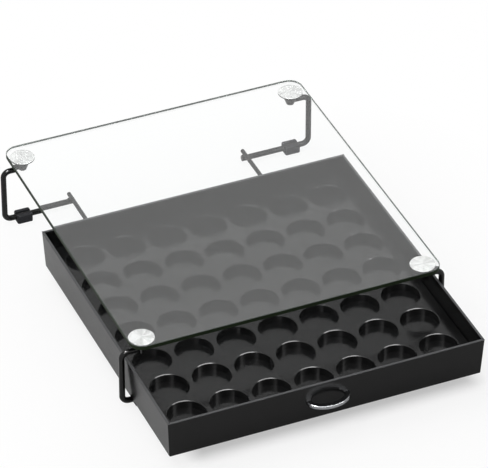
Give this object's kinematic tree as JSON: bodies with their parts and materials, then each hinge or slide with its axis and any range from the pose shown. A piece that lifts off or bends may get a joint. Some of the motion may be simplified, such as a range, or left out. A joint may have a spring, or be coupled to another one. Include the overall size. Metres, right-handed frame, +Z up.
{
  "type": "coffee capsule holder",
  "caption": "Glass-topped wire stand with a pull-out drawer of round capsule sockets and a half-ring pull.",
  "frame": {"origin": "middle of the upper face of the glass, where a machine stands", "axes": "+Z up out of the glass, +Y towards the back, the drawer opens towards -Y, +X to the right seen from the front"},
  "size_m": [0.3464, 0.4644, 0.0809],
  "materials": {
    "glass": "polished tempered glass",
    "wire": "gloss black powder coat",
    "boss": "gloss black",
    "rubber": "matt",
    "chrome": "turned, with fine radial brushing",
    "pull": "polished",
    "steel": "plain",
    "washer": "clear soft plastic",
    "drawer": "high gloss black",
    "insert": "gloss black",
    "glide": "low-friction strip"
  },
  "bodies": {
    "stand": {"glass_top": "glass", "leg_front_left": "wire", "foot_front_left": "rubber", "boss_front_left": "boss", "cap_front_left": "chrome", "stud_front_left": "steel", "washer_top_front_left": "washer", "washer_under_front_left": "washer", "leg_front_right": "wire", "foot_front_right": "rubber", "boss_front_right": "boss", "cap_front_right": "chrome", "stud_front_right": "steel", "washer_top_front_right": "washer", "washer_under_front_right": "washer", "leg_rear_left": "wire", "foot_rear_left": "rubber", "boss_rear_left": "boss", "cap_rear_left": "chrome", "stud_rear_left": "steel", "washer_top_rear_left": "washer", "washer_under_rear_left": "washer", "leg_rear_right": "wire", "foot_rear_right": "rubber", "boss_rear_right": "boss", "cap_rear_right": "chrome", "stud_rear_right": "steel", "washer_top_rear_right": "washer", "washer_under_rear_right": "washer", "rail_left": "wire", "rail_right": "wire"},
    "drawer": {"drawer_box": "drawer", "socket_deck": "insert", "socket_floor": "insert", "insert_risers": "insert", "drawer_pull": "pull", "pull_screws": "steel", "glide_left": "glide", "glide_right": "glide"}
  },
  "joints": [
    {"name": "drawer_slide", "type": "slide", "parent": "stand", "child": "drawer", "axis": [0, -1, 0], "range_m": [-0.0896, 0.1404]}
  ]
}
